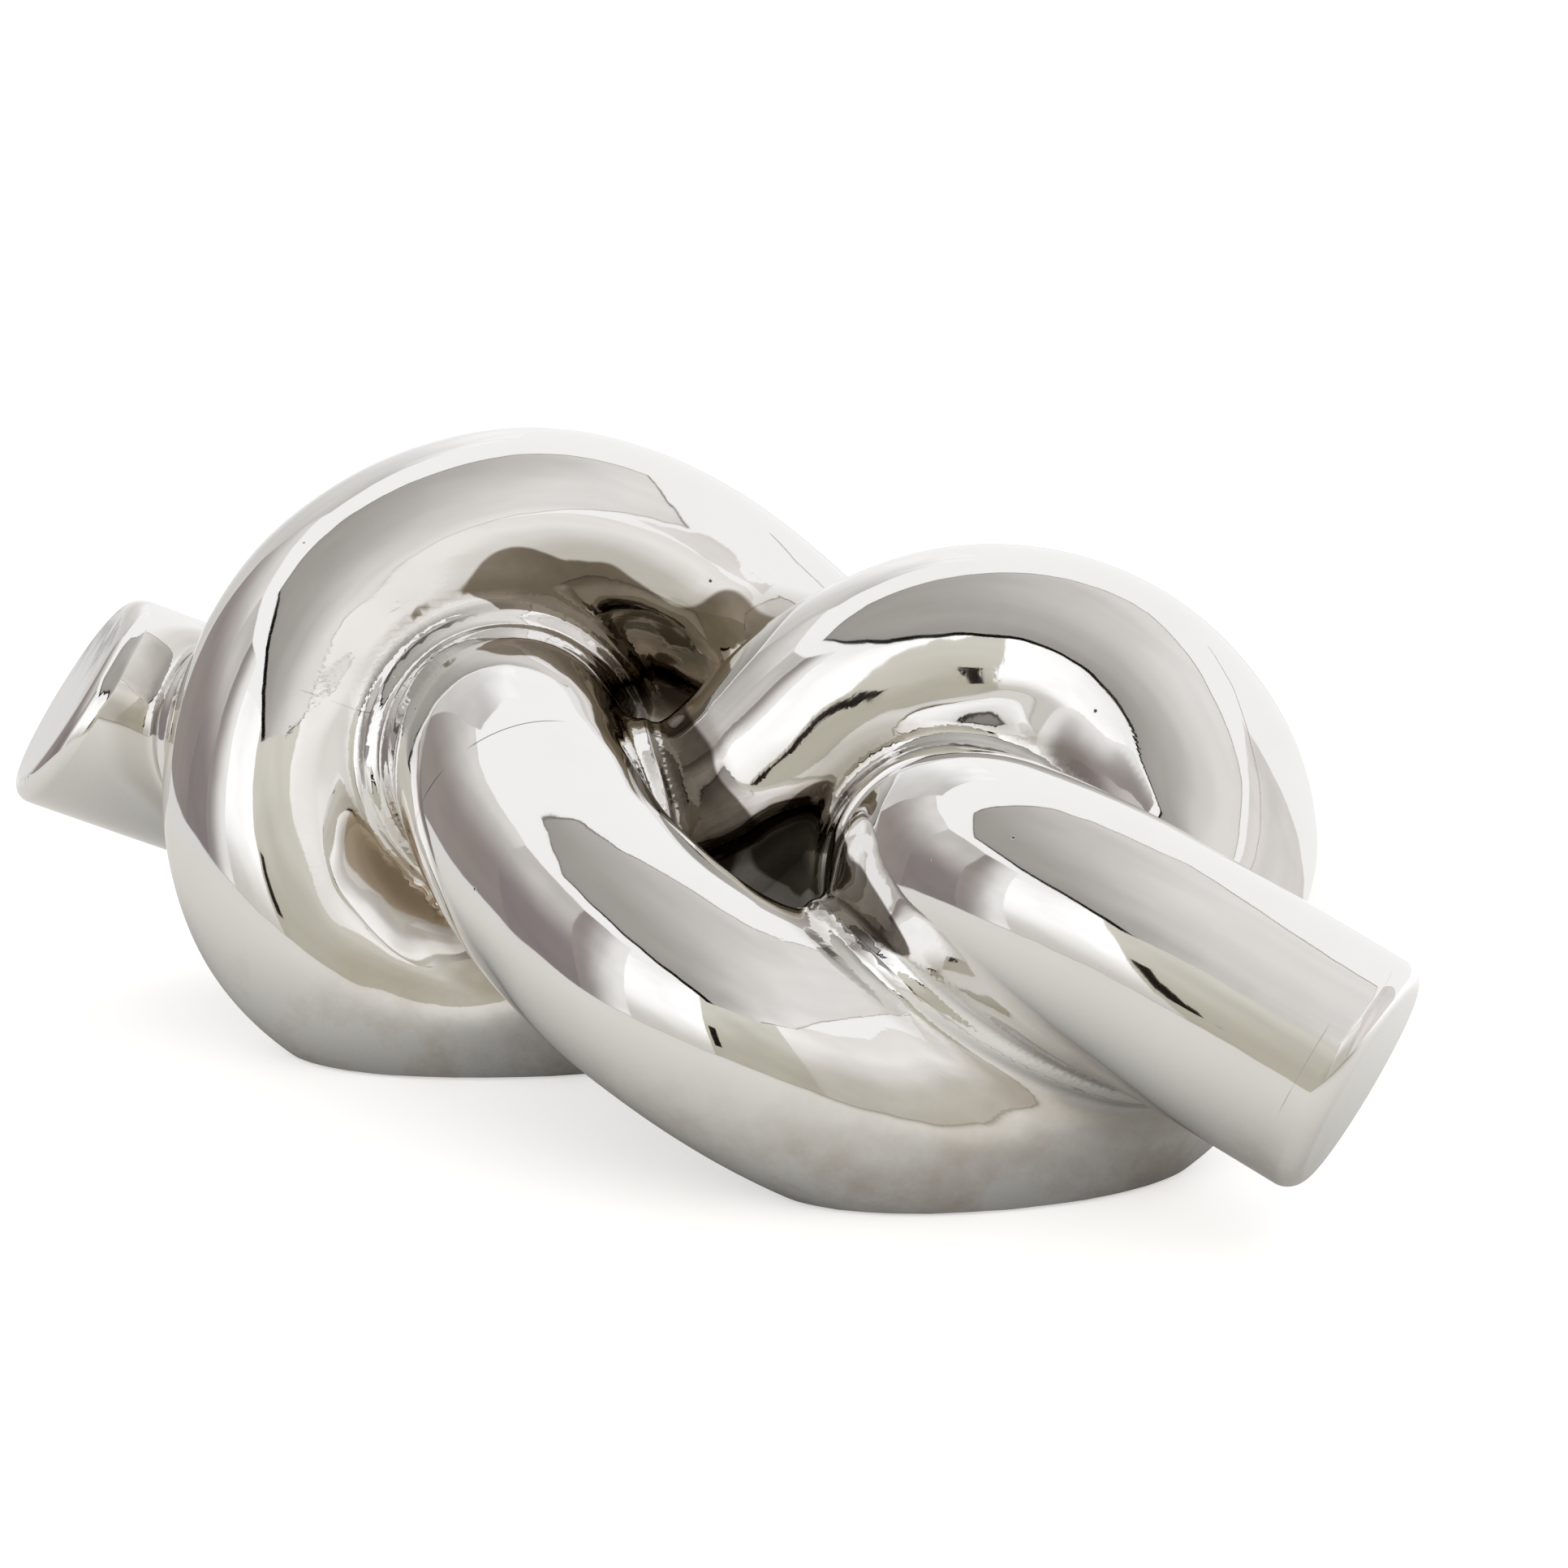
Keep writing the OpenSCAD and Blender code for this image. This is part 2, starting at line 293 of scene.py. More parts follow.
def wiped(apart, s):
    """Height of the ridges beside a crease, and their slope with apart."""
    lift, ridge = np.zeros(len(s)), np.zeros(len(s))
    for step, run, height, wander in WIPES:
        near = np.clip(1 - np.abs(apart) / run, 0, 1) ** 2
        pace = 2 * math.pi / step / (1 + wander * np.sin(s / WANDER_RUN))
        lift += height * near * np.cos(pace * apart)
        ridge -= height * near * np.sin(pace * apart) * pace
    return lift, ridge


ridge_mm = wiped(np.arange(0, 30, 5.0), np.zeros(6))[0].round(2)
print("ridges 0 to 25 mm from a crease:", ridge_mm.tolist(), "mm")

# %% [markdown]
# Now the whole skin. The nearest strand comes first, and up to two others that meet it are
# joined to it in turn. A strand meets itself again only further on along the tube. Then come
# the waves, and last the ends, because nothing is added to a face that was cut flat. Many
# points are asked at once, in handfuls that fit in memory.

# %% The whole skin
BLEND = 4 * CREASE_FILL
CROSSING_RUN = 1.5 * TUBE_D  # this far along the tube, a strand counts as another one
OTHERS = 2  # strands that may meet the nearest one
MARGIN = 4  # how far past the reach of BLEND a strand is still asked
FAR = 1e3


def skin_chunk(p):
    """The skin near a handful of points: f is the distance, g its slope, s the place along."""
    d = np.sqrt(np.maximum((p**2).sum(1)[:, None] + (line**2).sum(1) - 2 * p @ line.T, 0))
    f, g, s = to_strand(p, line_t[d.argmin(1)])
    hidden = np.abs(line_s - s[:, None]) < CROSSING_RUN
    for _ in range(OTHERS):
        d = np.where(hidden, FAR, d)
        nearest = d.argmin(1)
        rows = np.where(d[np.arange(len(p)), nearest] < f + tube_r + BLEND + MARGIN)[0]
        if len(rows) == 0:
            break
        f2, g2, s2 = to_strand(p[rows], line_t[nearest[rows]])
        moved_back = np.abs(s2 - line_s[nearest[rows]]) > CROSSING_RUN / 4
        f2 = np.where(moved_back, FAR, f2)
        # h is the share of the nearest strand in the union.
        h = np.clip(0.5 + 0.5 * (f2 - f[rows]) / BLEND, 0, 1)
        lift, ridge = wiped(f2 - f[rows], s[rows])
        across = g2 - g[rows]
        f[rows] = f2 * (1 - h) + f[rows] * h - BLEND * h * (1 - h) - lift
        g[rows] = g2 * (1 - h)[:, None] + g[rows] * h[:, None] - ridge[:, None] * across
        hidden[rows] |= np.abs(line_s - s2[:, None]) < CROSSING_RUN
    lift, slope = waves(p)
    f, g = f - lift, g - slope
    for point, normal in zip(end_points, end_normals):
        f, g = rounded_end(f, g, p, point, normal)
    return f, g, s


def skin(p, chunk=20000):
    """Distance from each point to the glazed skin, its slope, and the place along the tube."""
    parts = [skin_chunk(p[i:i + chunk]) for i in range(0, len(p), chunk)]
    return [np.concatenate(x) for x in zip(*parts)]


above = spline(knots, np.array([4.0])) + [[0, 0, 50.0]]
print("a point 50 mm above the middle strand's core is", round(float(skin(above)[0][0]), 2),
      "mm outside")

# %% [markdown]
# The mesh starts as Blender would draw a hose: a NURBS path with a round bevel. It is drawn
# too fat by the depth of the crease fill, so that strands which only just touch run together,
# and a voxel remesh then makes them one closed skin.

# %% A hose along the route
VOXEL = 1.2  # size of the new mesh's faces, in mm
HOSE_STEPS, HOSE_ROUND = 20, 14


def only(obj):
    """Selects obj alone and makes it active."""
    bpy.ops.object.select_all(action="DESELECT")
    obj.select_set(True)
    bpy.context.view_layer.objects.active = obj
    return obj


def apply(obj, kind, **settings):
    """Adds one modifier to obj, sets it and applies it."""
    modifier = obj.modifiers.new(kind.title(), kind)
    for key, value in settings.items():
        setattr(modifier, key, value)
    only(obj)
    bpy.ops.object.modifier_apply(modifier=modifier.name)
    return obj


def hose(name, radius):
    """A closed tube of one radius along the route, in millimetres."""
    bpy.ops.curve.primitive_nurbs_path_add()
    made = bpy.context.object
    made.name = made.data.name = name
    path = made.data.splines[0]
    path.points.add(len(knots) - len(path.points))
    path.points.foreach_set("co", np.c_[knots * MM, np.ones(len(knots))].ravel())
    path.use_endpoint_u = False
    path.order_u = 4
    made.data.resolution_u = HOSE_STEPS
    made.data.bevel_depth = radius * MM
    made.data.bevel_resolution = HOSE_ROUND
    made.data.use_fill_caps = True
    bpy.ops.object.convert(target="MESH")
    return made


body = hose("skin", tube_r + CREASE_FILL)
apply(body, "REMESH", mode="VOXEL", voxel_size=VOXEL * MM)
print("remeshed hose:", len(body.data.vertices), "points")

# %% [markdown]
# The remesh may leave closed pockets inside, where strands touch. They would show up later as
# loose shells in the wall, so the mesh is split into its shells and only the largest is kept.

# %% Keep the outside
def edit(obj):
    """Opens obj in edit mode with everything selected."""
    only(obj)
    bpy.ops.object.mode_set(mode="EDIT")
    bpy.ops.mesh.select_all(action="SELECT")


def leave_edit():
    bpy.ops.object.mode_set(mode="OBJECT")


def remove(obj):
    bpy.data.objects.remove(obj)


def keep_main_shell(obj):
    """Splits obj into its loose shells, keeps the one with most points and drops the rest."""
    name = obj.name
    edit(obj)
    bpy.ops.mesh.separate(type="LOOSE")
    leave_edit()
    shells = sorted(bpy.context.selected_objects, key=lambda shell: len(shell.data.vertices))
    for scrap in shells[:-1]:
        remove(scrap)
    shells[-1].name = name
    return shells[-1]


body = keep_main_shell(body)
print("outer shell:", len(body.data.vertices), "points")

# %% [markdown]
# The rims of the ends have the tightest curve of all. With faces of one voxel their edge would
# be a sawtooth in the mirror, so the faces there are found by their place and cut finer.

# %% A finer mesh on the two rims
RIM_ALONG, RIM_INSIDE = 1.5, 2.5  # how far the finer mesh runs past the rim, in mm
RIM_CUTS = 3


def refine_rims(obj):
    mesh = obj.data
    centres = np.empty(len(mesh.polygons) * 3)
    mesh.polygons.foreach_get("center", centres)
    centres = centres.reshape(-1, 3) / MM
    chosen = np.zeros(len(centres), bool)
    for point, normal, radius in zip(end_points, end_normals, (LEFT_END_D / 2, tube_r)):
        from_end = centres - point
        beyond = from_end @ normal
        aside = np.linalg.norm(from_end - beyond[:, None] * normal, axis=1)
        on_rim = (aside > radius - RIM_R - RIM_INSIDE) & (aside < 1.5 * radius)
        chosen |= (beyond > -RIM_R - RIM_ALONG) & on_rim
    edit(obj)
    bpy.ops.mesh.select_all(action="DESELECT")
    bpy.ops.mesh.select_mode(type="FACE")
    leave_edit()
    mesh.polygons.foreach_set("select", chosen)
    bpy.ops.object.mode_set(mode="EDIT")
    bpy.ops.mesh.subdivide(number_cuts=RIM_CUTS)
    bpy.ops.mesh.select_mode(type="VERT")
    leave_edit()
    print("rims:", int(chosen.sum()), "faces cut finer")


print("each rim face will be cut into", (RIM_CUTS + 1) ** 2)

# %% [markdown]
# Each point is moved onto the skin along its slope, a few times over, because the slope is only
# right close by. A light smoothing after the first moves keeps the mesh even. The rims are cut
# once the mesh lies on the skin.

# %% Lay the mesh on the skin
SNAPS, SMOOTHED, REFINED_AT = 8, 2, 3
LEAST_SLOPE = 0.1  # keeps a move short deep inside, where the slope fades


def positions(obj):
    co = np.empty(len(obj.data.vertices) * 3, np.float32)
    obj.data.vertices.foreach_get("co", co)
    return co.reshape(-1, 3).astype(float)


for snap in range(SNAPS):
    if snap == REFINED_AT:
        refine_rims(body)
    co = positions(body) / MM
    f, slope, _ = skin(co)
    co -= slope * (f / np.maximum((slope**2).sum(1), LEAST_SLOPE))[:, None]
    body.data.vertices.foreach_set("co", (co * MM).astype(np.float32).ravel())
    body.data.update()
    if snap < SMOOTHED:
        edit(body)
        bpy.ops.mesh.vertices_smooth(factor=0.5, repeat=3)
        leave_edit()
    print("snap", snap, "moved up to", round(float(np.abs(f).max()), 3), "mm")

# %% [markdown]
# The hollow inside the tube, and later the cells that cut the castings apart, are sleeves that
# follow the centreline. A sleeve's ends have to lie on set planes and its radius may differ in
# each direction, which a bevelled curve can't do, so it is written down ring by ring. The rings
# near the left end lean over until they match its face.

# %% A sleeve around the centreline
SLEEVE_SIDES = 72
SLEEVE_STEP = 3.0


def place_at(s):
    """Point and direction of the centreline at s, which may lie beyond its ends."""
    inside = float(np.clip(s, 0, tube_l))
    t = np.interp(inside, line_s, line_t)
    way = unit(spline(knots, t, 1))
    return spline(knots, t) + (s - inside) * way, way


def sleeve(name, start, stop, reach_at):
    """Closed tube between two places; reach_at gives its radius in each direction around."""
    stations = np.linspace(start, stop, max(2, math.ceil((stop - start) / SLEEVE_STEP)) + 1)
    angle = np.arange(SLEEVE_SIDES) * 2 * math.pi / SLEEVE_SIDES
    side = unit(np.cross([0, 0, 1], place_at(start)[1]))
    rings = []
    for s in stations:
        centre, way = place_at(s)
        side = unit(side - (side @ way) * way)
        around = np.cos(angle)[:, None] * side + np.sin(angle)[:, None] * np.cross(way, side)
        reach = reach_at(centre, around, s)
        lean = left_lean(way) * np.clip((tube_r - s) / (tube_r - DISC_T), 0, 1)
        rings.append(centre + reach[:, None] * (around + (around @ lean)[:, None] * way))
    n, m = SLEEVE_SIDES, len(rings)
    bands = [(i * n + j, i * n + (j + 1) % n, (i + 1) * n + (j + 1) % n, (i + 1) * n + j)
             for i in range(m - 1) for j in range(n)]
    lids = [tuple(range(n - 1, -1, -1)), tuple(range((m - 1) * n, m * n))]
    mesh = bpy.data.meshes.new(name)
    mesh.from_pydata((np.concatenate(rings) * MM).tolist(), [], bands + lids)
    made = bpy.data.objects.new(name, mesh)
    bpy.context.collection.objects.link(made)
    return made


def bore(centre, around, s):
    return np.full(len(around), tube_r - WALL)


core = sleeve("hollow", joints[0], joints[-1], bore)
print("hollow:", len(core.data.vertices), "points, from disc to disc")

# %% [markdown]
# The knot stands on two flats, ground after firing, and each has a vent hole that let air out
# of the hollow tube in the kiln. A bisect with fill makes the flats, and a boolean takes away
# the hollow, cut off above the floors, and the vents.

# %% Flats, hollow and vents
VENT_SIDES = 48


def boolean(obj, other, operation):
    return apply(obj, "BOOLEAN", operation=operation, object=other, solver="MANIFOLD")


def cut_below(obj, height):
    """Cuts obj off flat at a height in millimetres and closes it there."""
    edit(obj)
    bpy.ops.mesh.bisect(plane_co=(0, 0, height * MM), plane_no=(0, 0, 1), use_fill=True,
                        clear_inner=True)
    leave_edit()
    return obj


cut_below(body, 0)
cut_below(core, FLOOR_T)
boolean(body, core, "DIFFERENCE")
remove(core)
for foot_t in (FRONT_FOOT, LEFT_FOOT):
    foot = spline(knots, foot_t) * MM
    bpy.ops.mesh.primitive_cylinder_add(vertices=VENT_SIDES, radius=VENT_D / 2 * MM,
                                        depth=3 * FLOOR_T * MM, location=(foot[0], foot[1], 0))
    vent = bpy.context.object
    boolean(body, vent, "DIFFERENCE")
    remove(vent)
print("hollow body:", len(body.data.vertices), "points")

# %% [markdown]
# The body is still one mesh, and the real one is ten castings. A cell is made for each: a fat
# sleeve along its own length, which stops at the seams, and halfway to every strand that it
# meets.

# %% How far a cell reaches
CELL_R = tube_r + 7  # past the skin and the fill of its creases
OVERRUN = 15.0  # the first and last cell run this far past the tube's ends
TOUCH = 0.3  # cells of crossing strands overlap by this, so no film stays between them
limits = [-OVERRUN, *joints, tube_l + OVERRUN]


def halfway(centre, around, s):
    """Distance from centre, in each direction around it, to the planes halfway to other strands."""
    others = line[np.abs(line_s - s) > CROSSING_RUN] - centre
    others = others[np.linalg.norm(others, axis=1) < 2 * CELL_R + 2]
    if len(others) == 0:
        return np.full(len(around), FAR)
    ahead = around @ others.T
    reach = (others**2).sum(1) / np.maximum(2 * ahead, 1e-6)
    return np.where(ahead > 0, reach, FAR).min(1)


def cell_reach(centre, around, s):
    return np.minimum(halfway(centre, around, s) + TOUCH, CELL_R)


print("cells run", [f"{a:.0f} to {b:.0f}" for a, b in zip(limits, limits[1:])], "mm along the tube")

# %% [markdown]
# Taking the cells out of the body one after the other leaves no gap and no overlap between
# neighbours, because what one piece leaves is what the next one is cut from. What is left over
# at the end are films at the seams that have no thickness.

# %% Take the castings out of the body one by one
def copy_of(obj, name):
    made = bpy.data.objects.new(name, obj.data.copy())
    bpy.context.collection.objects.link(made)
    return made


pieces = []
for casting, start, stop in zip(NODES, limits, limits[1:]):
    cell = sleeve("cell", start, stop, cell_reach)
    piece = copy_of(body, "glazed_" + casting)
    boolean(piece, cell, "INTERSECT")
    boolean(body, cell, "DIFFERENCE")
    remove(cell)
    piece = keep_main_shell(piece)
    pieces.append(piece)
    print(piece.name, len(piece.data.vertices), "points")
print("left over:", len(body.data.vertices), "points")
remove(body)

# %% [markdown]
# A mirror shows the slope of every facet, so the shading doesn't lean on the facets at all.
# Each outer corner gets the exact normal of the field. Walls inside, seams and the ground
# flats keep their own flat normals.

# %% Exact normals
ON_SKIN = 0.06  # how far off the field a corner may lie and still be outside, in mm
AGREES = 0.5  # cosine between a face and the field's slope


def lay_normals(piece):
    """Gives the outside its exact normals; returns each point's place along and its normal."""
    mesh = piece.data
    f, slope, s = skin(positions(piece) / MM)
    exact = unit(slope)
    corner = np.empty(len(mesh.loops), int)
    mesh.loops.foreach_get("vertex_index", corner)
    first = np.empty(len(mesh.polygons), int)
    mesh.polygons.foreach_get("loop_start", first)
    flat = np.empty(len(mesh.polygons) * 3)
    mesh.polygons.foreach_get("normal", flat)
    flat = flat.reshape(-1, 3)
    face = np.repeat(np.arange(len(first)), np.diff(np.r_[first, len(corner)]))
    faces_out = (exact[corner] * flat[face]).sum(1) > AGREES
    outer = np.logical_and.reduceat((np.abs(f[corner]) < ON_SKIN) & faces_out, first)[face]
    normals = np.where(outer[:, None], exact[corner], flat[face])
    mesh.shade_smooth()
    mesh.normals_split_custom_set(normals.tolist())
    return s, exact


laid = [lay_normals(piece) for piece in pieces]
print("normals laid on", len(laid), "castings")

# %% [markdown]
# The glaze needs to know where on the knot it is. Three numbers are kept with each point:
# `from_seam`, the millimetres to the nearer end of its own casting, for the hairline over a
# luted seam; `along`, the millimetres along the tube; and `crevice`, which is 0 in the open and
# nears 1 where other strands close over a point. Probes along the normal find that: each asks
# the field whether anything is nearer than the probe's own reach. With that a casting is done,
# and it is put in the place of its node, on the one body that the frame has.

# %% What the glaze needs to know, and the frame's nodes
PROBES = ((4, 0.2), (9, 0.25), (18, 0.3), (34, 0.25))  # reach in mm, weight


def crevice(piece, exact):
    """0 in the open and 1 where other strands close over a point, from probes along its normal."""
    co = positions(piece) / MM
    shut = np.zeros(len(co))
    for reach, weight in PROBES:
        clear = skin(co + exact * reach)[0]
        shut += weight * np.clip(1 - clear / reach, 0, 1)
    return shut


def keep(piece, name, values):
    layer = piece.data.attributes.new(name, "FLOAT", "POINT")
    layer.data.foreach_set("value", values.astype(np.float32))


for k, (piece, (s, exact)) in enumerate(zip(pieces, laid)):
    from_seam = np.full(len(s), FAR)
    if k > 1:
        from_seam = np.minimum(from_seam, s - joints[k - 1])
    if 0 < k < len(joints) - 1:
        from_seam = np.minimum(from_seam, joints[k] - s)
    # How shut in each point is; the glaze paints shade into the creases from it.
    shut = crevice(piece, exact)
    keep(piece, "from_seam", from_seam)
    keep(piece, "along", s)
    keep(piece, "crevice", shut)
    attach(piece, "root")
    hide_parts(NODES[k])
    print(piece.name, "is shut in by", round(float(shut.mean()), 2), "on average")

# %% [markdown]
# The finish is silver lustre: a glaze fired glass smooth, then fired again with a film of
# silver salts that leaves a real metal mirror, thinner than a thousandth of a millimetre. The
# eye reads it through what it reflects, so its shader is plain: a metal, nearly white, at a low
# roughness. What makes it this object's own is the bump under it and the tint over it, and the
# tint also carries painted shade in the hollows. Both are built up below with one small function,
# which adds a node, sets it and links it.

# %% Colours and nodes
# Settings that many nodes share: a soft ramp, and a mix of colours.
SMOOTH = {"interpolation_type": "SMOOTHSTEP"}
COLOURS = {"data_type": "RGBA", "out": "Result"}


def srgb(code):
    """Turns an sRGB hex colour into the linear values that the shader needs."""
    c = np.array([int(code[i:i + 2], 16) for i in (1, 3, 5)]) / 255
    c = np.where(c <= 0.04045, c / 12.92, ((c + 0.055) / 1.055) ** 2.4)
    return (*c.tolist(), 1.0)


def node(tree, kind, inputs=(), out=0, **settings):
    """Adds one node and gives back its output; an input is a value, or another node's output."""
    made = tree.nodes.new("ShaderNode" + kind)
    for key, value in settings.items():
        setattr(made, key, value)
    for key, value in inputs.items() if isinstance(inputs, dict) else enumerate(inputs):
        if isinstance(value, bpy.types.NodeSocket):
            tree.links.new(value, made.inputs[key])
        else:
            made.inputs[key].default_value = value
    return made.outputs[out] if made.outputs else None


def new_material(name):
    """A material with an empty node tree, and that tree."""
    material = bpy.data.materials.new(name)
    material.use_nodes = True
    material.node_tree.nodes.clear()
    return material, material.node_tree


print("the glaze's white #F0EFEE is", [round(c, 3) for c in srgb("#F0EFEE")[:3]], "linear")

# %% [markdown]
# No thick glaze is flat. It has the orange peel that makes the edges of reflections wander, it
# lies lumpy where slip was wiped into a crease, and a few bubbles burst into pinholes. A chain
# of Bump nodes, each on the normal of the one before, gives them all. Patterns read Object
# coordinates, which are places on the knot in metres, so a noise of scale 110 has 110 swells in
# a metre, which is one every 9 mm.

# %% Orange peel, lumps and pinholes
PEEL, PEEL_MM = 110, 0.075  # how many in a metre, and how deep
RIPPLE, RIPPLE_MM = 420, 0.0035
SWELLS, LUMPS_MM = 72, 0.8
PINHOLES, PINHOLE_MM = 70, 0.1
glaze, tree = new_material("silver_lustre_glaze")
place = node(tree, "TexCoord", out="Object")
shut = node(tree, "Attribute", out="Fac", attribute_name="crevice")

# Orange peel: swells about 9 mm apart, and finer ones about 2 mm apart.
peel = node(tree, "TexNoise", {"Vector": place, "Scale": PEEL, "Detail": 1.0})
ripple = node(tree, "TexNoise", {"Vector": place, "Scale": RIPPLE, "Detail": 2.0})
# Wiped slip: swells about 14 mm apart, only where strands meet.
swells = node(tree, "TexNoise", {"Vector": place, "Scale": SWELLS, "Detail": 0.0})
in_crease = node(tree, "MapRange", [shut, 0.1, 0.5, 0.0, 1.0], **SMOOTH)
lumps = node(tree, "Math", [swells, in_crease], operation="MULTIPLY")
# Pinholes about 0.5 mm wide and six centimetres apart: 0 in the hole and 1 around it.
bubbles = node(tree, "TexVoronoi", {"Vector": place, "Scale": PINHOLES}, out="Distance")
pin = node(tree, "MapRange", [bubbles, 0.010, 0.026, 0.0, 1.0])
bump = {}
for height, depth in ((peel, PEEL_MM), (ripple, RIPPLE_MM), (lumps, LUMPS_MM), (pin, PINHOLE_MM)):
    bump["Normal"] = node(tree, "Bump", {"Height": height, "Strength": 1.0,
                                         "Distance": depth * MM, **bump})
print("bump:", len(tree.nodes), "nodes")

# %% [markdown]
# Silver tarnishes to a warm brown, here in clouds near the table. The creases get painted shade,
# because a mirror there reflects only the dark inside of the knot. `crevice` says how shut in a
# point is. `along` says which stretch of the tube it is on, so that the painted shade can be held
# back on some stretches. Each layer is mixed over the tint so far.

# %% Tarnish low down, and painted shade in the creases
CLEAN, LOW_BROWN = "#F0EFEE", "#B8A48C"
# Stretches of the tube where the painted shade in the creases is held back.
SHADE_HELD_BACK = ((118, 192, 0.2), (345, 435, 0.3), (540, 612, 0.2))  # from and to along the tube, how much
HELD_BACK_FADE = 10
# Painted shade in the creases, in steps that darken as a point is more shut in.
SHADE_STEPS = ((0.40, 0.54, 0.35, "#A39885"),  # shut in from and to, how much, colour
         (0.54, 0.70, 0.40, "#7F7262"),
         (0.68, 0.92, 0.75, "#5A4E42"))
along = node(tree, "Attribute", out="Fac", attribute_name="along")

# Clouds about 30 mm across, strongest in the lowest 28 mm.
height_z = node(tree, "SeparateXYZ", [place], out="Z")
clouds = node(tree, "TexNoise", {"Vector": place, "Scale": 34, "Detail": 5.0, "Roughness": 0.65})
patch = node(tree, "MapRange", [clouds, 0.46, 0.74, 0.0, 1.0])
near_table = node(tree, "MapRange", [height_z, 0.002, 0.028, 0.85, 0.05])
low = node(tree, "Math", [patch, near_table], operation="MULTIPLY")
tint = node(tree, "Mix", {"Factor": low, "A": srgb(CLEAN), "B": srgb(LOW_BROWN)}, **COLOURS)
# The edge of the painted shade wanders with the swells, and draws back on the held-back stretches.
wander = node(tree, "MapRange", [swells, 0.3, 0.7, -0.035, 0.035])
shade_depth = node(tree, "Math", [shut, wander], operation="ADD")
for first, last, held_back in SHADE_HELD_BACK:
    after = node(tree, "MapRange", [along, first - HELD_BACK_FADE, first + HELD_BACK_FADE, 0.0, held_back], **SMOOTH)
    before = node(tree, "MapRange", [along, last - HELD_BACK_FADE, last + HELD_BACK_FADE, 1.0, 0.0], **SMOOTH)
    held_back_here = node(tree, "Math", [after, before], operation="MULTIPLY")
    shade_depth = node(tree, "Math", [shade_depth, held_back_here], operation="SUBTRACT")
# Painted shade, mixed over the tint step by step.
for opened, closed, amount, colour in SHADE_STEPS:
    shade_step = node(tree, "MapRange", [shade_depth, opened, closed, 0.0, amount], **SMOOTH)
    tint = node(tree, "Mix", {"Factor": shade_step, "A": tint, "B": srgb(colour)}, **COLOURS)
print("tarnish:", len(tree.nodes), "nodes")

# %% [markdown]
# Some hollows get patches of painted shade, the dark that a mirror there reflects: the left loop's
# inside, the mouth of the crease at the left, and both walls of the centre pocket. Each patch has
# its middle at a place along the tube, lies where its strand is shut in, and tapers to both sides.

# %% Painted shade in the hollows
# Patches of painted shade, where the mirror reflects the knot's dark hollows.
SHADE_PATCHES = ((674, 92, 0.21, 0.92, "#6C6050"),  # middle, half length, shut in from, how much, colour
          (570, 80, 0.44, 0.75, "#A68F70"),
          (465, 60, 0.50, 0.95, "#39332C"),
          (868, 70, 0.34, 0.95, "#3F3830"))
PATCH_LIGHT = "#B5AA98"  # lighter mottling inside the patches of painted shade
SHADE_PATCH_EDGE = (-0.01, 0.02)
astray = node(tree, "MapRange", [swells, 0.3, 0.7, -8.0, 8.0])
along_astray = node(tree, "Math", [along, astray], operation="ADD")
patch_mottle = node(tree, "MapRange", [clouds, 0.35, 0.7, 0.0, 0.35])
# Each patch of painted shade is mixed over the tint.
for middle, half, closed, amount, colour in SHADE_PATCHES:
    aside = node(tree, "Math", [along_astray, middle], operation="SUBTRACT")
    aside = node(tree, "Math", [aside], operation="ABSOLUTE")
    taper = node(tree, "MapRange", [aside, 0.0, half, 0.0, 1.0], **SMOOTH)
    held = node(tree, "Math", [shade_depth, taper], operation="SUBTRACT")
    start, full = closed + SHADE_PATCH_EDGE[0], closed + SHADE_PATCH_EDGE[1]
    shade_patch = node(tree, "MapRange", [held, start, full, 0.0, amount], **SMOOTH)
    mottled = node(tree, "Mix", {"Factor": patch_mottle, "A": srgb(colour), "B": srgb(PATCH_LIGHT)}, **COLOURS)
    tint = node(tree, "Mix", {"Factor": shade_patch, "A": tint, "B": mottled}, **COLOURS)
print("patches_of_shade:", len(SHADE_PATCHES))

# %% [markdown]
# The glaze ran over the luted seams and left a hairline 0.2 mm wide above each, which comes and
# goes. Then the shader takes the tint, the bump and a haze that follows the clouds of tarnish.
# A metal keeps its default IOR, and every piece wears the same glaze.

# %% Hairlines, and the lustre itself
HAIRLINE, IN_PINHOLE = "#4A423B", "#3B322A"
seam = node(tree, "Attribute", out="Fac", attribute_name="from_seam")
gaps = node(tree, "TexNoise", {"Vector": place, "Scale": 55})
broken = node(tree, "MapRange", [gaps, 0.46, 0.56, 0.0, 0.75])
line_mm = node(tree, "MapRange", [seam, 0.04, 0.2, 1.0, 0.0])
hairline = node(tree, "Math", [line_mm, broken], operation="MULTIPLY")
tint = node(tree, "Mix", {"Factor": hairline, "A": tint, "B": srgb(HAIRLINE)}, **COLOURS)
tint = node(tree, "Mix", {"Factor": pin, "A": srgb(IN_PINHOLE), "B": tint}, **COLOURS)
haze = node(tree, "MapRange", [clouds, 0.3, 0.8, 0.02, 0.075])
lustre = node(tree, "BsdfPrincipled", {"Base Color": tint, "Roughness": haze, "Metallic": 1.0,
                                       **bump})
node(tree, "OutputMaterial", {"Surface": lustre})
for piece in pieces:
    piece.data.materials.clear()
    piece.data.materials.append(glaze)
print("glaze:", len(tree.nodes), "nodes")

# %% [markdown]
# A mirror is only as good as the room around it. The room of the photograph can be read off
# the knot itself: a big pale sheet overhead, grey panels left and right, a white strip
# straight ahead, and dark edges between them. They are plain glowing cards that only
# reflections see. Each is slightly uneven, and it may fade to a second colour. A card has only
# its corners and needs no shaping, so its mesh is written down directly.

# %% A card of the studio
CARD_FAR = 1.0
MOTTLE = 0.10  # how uneven the light on a card is, in patches about 40 cm across


